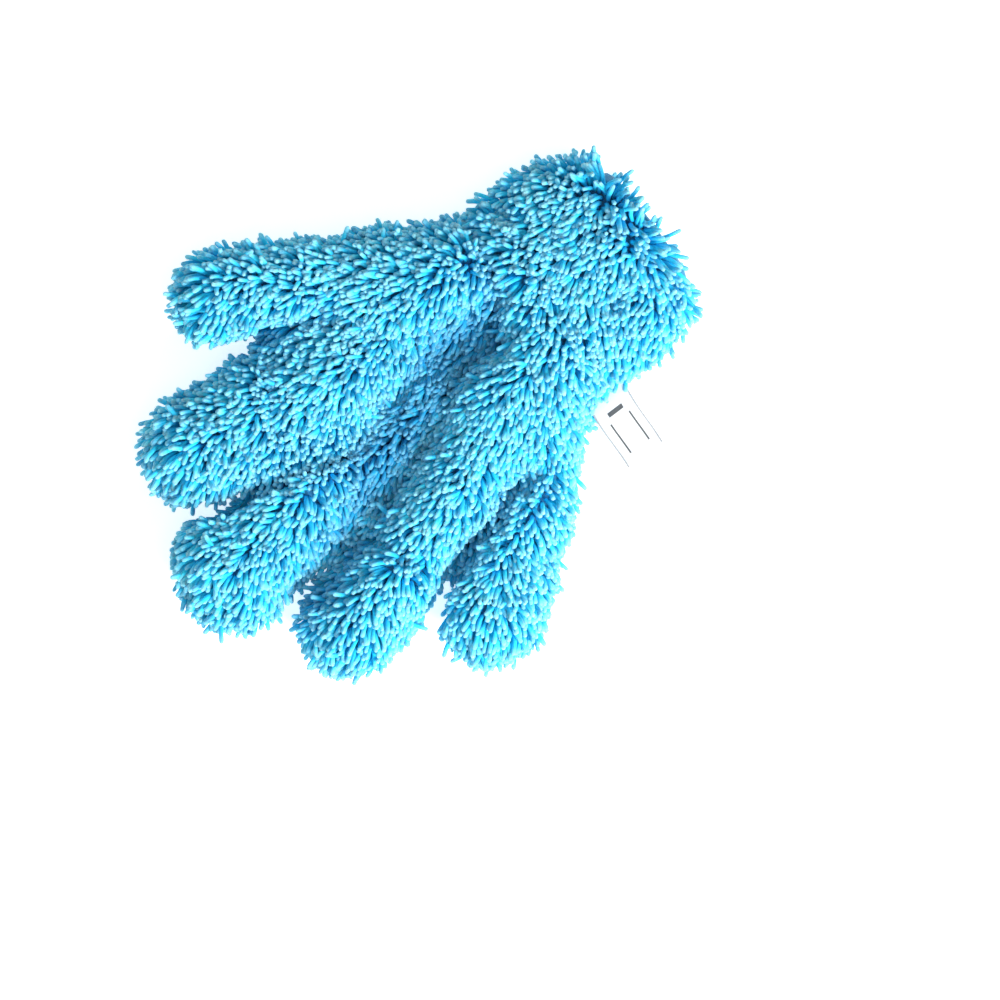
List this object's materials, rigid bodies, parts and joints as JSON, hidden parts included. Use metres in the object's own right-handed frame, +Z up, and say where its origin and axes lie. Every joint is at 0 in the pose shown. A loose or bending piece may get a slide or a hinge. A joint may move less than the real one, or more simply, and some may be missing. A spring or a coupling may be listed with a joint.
{
  "type": "chenille wash glove",
  "caption": "Loose five-finger wash glove of chenille pile on both sides, with an elastic cuff, a soft lining and a blank side label.",
  "frame": {"origin": "on the ground under the middle of the glove's box", "axes": "+Z up out of the palm, +Y from the cuff to the fingertips, +X towards the thumb"},
  "size_m": [0.2258, 0.2606, 0.0512],
  "materials": {
    "chenille": "deep chenille pile, matt with a soft sheen",
    "lining": "fine knit",
    "elastic": "woven elastic band",
    "hem": "folded and overlocked tape",
    "label": "white satin ribbon, blank"
  },
  "bodies": {
    "hand": {"palm_panel": "chenille", "back_panel": "chenille", "hand_lining": "lining", "cuff_elastic": "elastic", "cuff_hem_binding": "hem", "label_tab": "label"},
    "label": {"side_label": "label"},
    "thumb_root": {"thumb_root_palm_panel": "chenille", "thumb_root_back_panel": "chenille", "thumb_root_lining": "lining"},
    "thumb_tip": {"thumb_tip_palm_panel": "chenille", "thumb_tip_back_panel": "chenille", "thumb_tip_lining": "lining"},
    "index_root": {"index_root_palm_panel": "chenille", "index_root_back_panel": "chenille", "index_root_lining": "lining"},
    "index_tip": {"index_tip_palm_panel": "chenille", "index_tip_back_panel": "chenille", "index_tip_lining": "lining"},
    "middle_root": {"middle_root_palm_panel": "chenille", "middle_root_back_panel": "chenille", "middle_root_lining": "lining"},
    "middle_tip": {"middle_tip_palm_panel": "chenille", "middle_tip_back_panel": "chenille", "middle_tip_lining": "lining"},
    "ring_root": {"ring_root_palm_panel": "chenille", "ring_root_back_panel": "chenille", "ring_root_lining": "lining"},
    "ring_tip": {"ring_tip_palm_panel": "chenille", "ring_tip_back_panel": "chenille", "ring_tip_lining": "lining"},
    "little_root": {"little_root_palm_panel": "chenille", "little_root_back_panel": "chenille", "little_root_lining": "lining"},
    "little_tip": {"little_tip_palm_panel": "chenille", "little_tip_back_panel": "chenille", "little_tip_lining": "lining"}
  },
  "joints": [
    {"name": "thumb_root_bend", "type": "hinge", "parent": "hand", "child": "thumb_root", "pos_m": [0.0579, -0.0203, 0.022], "axis": [0.8712, -0.4909, 0], "range_deg": [-8, 40]},
    {"name": "thumb_knuckle_bend", "type": "hinge", "parent": "thumb_root", "child": "thumb_tip", "pos_m": [0.07587, 0.01159, 0.02585], "axis": [0.8536, -0.5208, -0.0036], "range_deg": [-8, 55]},
    {"name": "index_root_bend", "type": "hinge", "parent": "hand", "child": "index_root", "pos_m": [0.0329, 0.0197, 0.022], "axis": [0.9851, -0.1719, 0], "range_deg": [-8, 45]},
    {"name": "index_knuckle_bend", "type": "hinge", "parent": "index_root", "child": "index_tip", "pos_m": [0.03987, 0.05964, 0.02412], "axis": [0.9866, -0.1633, 0.0005], "range_deg": [-8, 55]},
    {"name": "middle_root_bend", "type": "hinge", "parent": "hand", "child": "middle_root", "pos_m": [-0.0071, 0.0257, 0.022], "axis": [0.9997, 0.0227, 0], "range_deg": [-8, 45]},
    {"name": "middle_knuckle_bend", "type": "hinge", "parent": "middle_root", "child": "middle_tip", "pos_m": [-0.0081, 0.06963, 0.0243], "axis": [0.9997, 0.0262, 0.0002], "range_deg": [-8, 55]},
    {"name": "ring_root_bend", "type": "hinge", "parent": "hand", "child": "ring_root", "pos_m": [-0.0431, 0.0117, 0.022], "axis": [0.9816, 0.1908, 0], "range_deg": [-8, 45]},
    {"name": "ring_knuckle_bend", "type": "hinge", "parent": "ring_root", "child": "ring_tip", "pos_m": [-0.05009, 0.04768, 0.02392], "axis": [0.9792, 0.2028, 0.0006], "range_deg": [-8, 55]},
    {"name": "little_root_bend", "type": "hinge", "parent": "hand", "child": "little_root", "pos_m": [-0.0696, -0.0083, 0.022], "axis": [0.788, 0.6157, 0], "range_deg": [-8, 45]},
    {"name": "little_knuckle_bend", "type": "hinge", "parent": "little_root", "child": "little_tip", "pos_m": [-0.08374, 0.0098, 0.0232], "axis": [0.8659, 0.5002, -0.0073], "range_deg": [-8, 55]},
    {"name": "label_flap", "type": "hinge", "parent": "hand", "child": "label", "pos_m": [-0.0436, -0.0713, 0.022], "axis": [0, 1, 0], "range_deg": [-60, 60]}
  ]
}
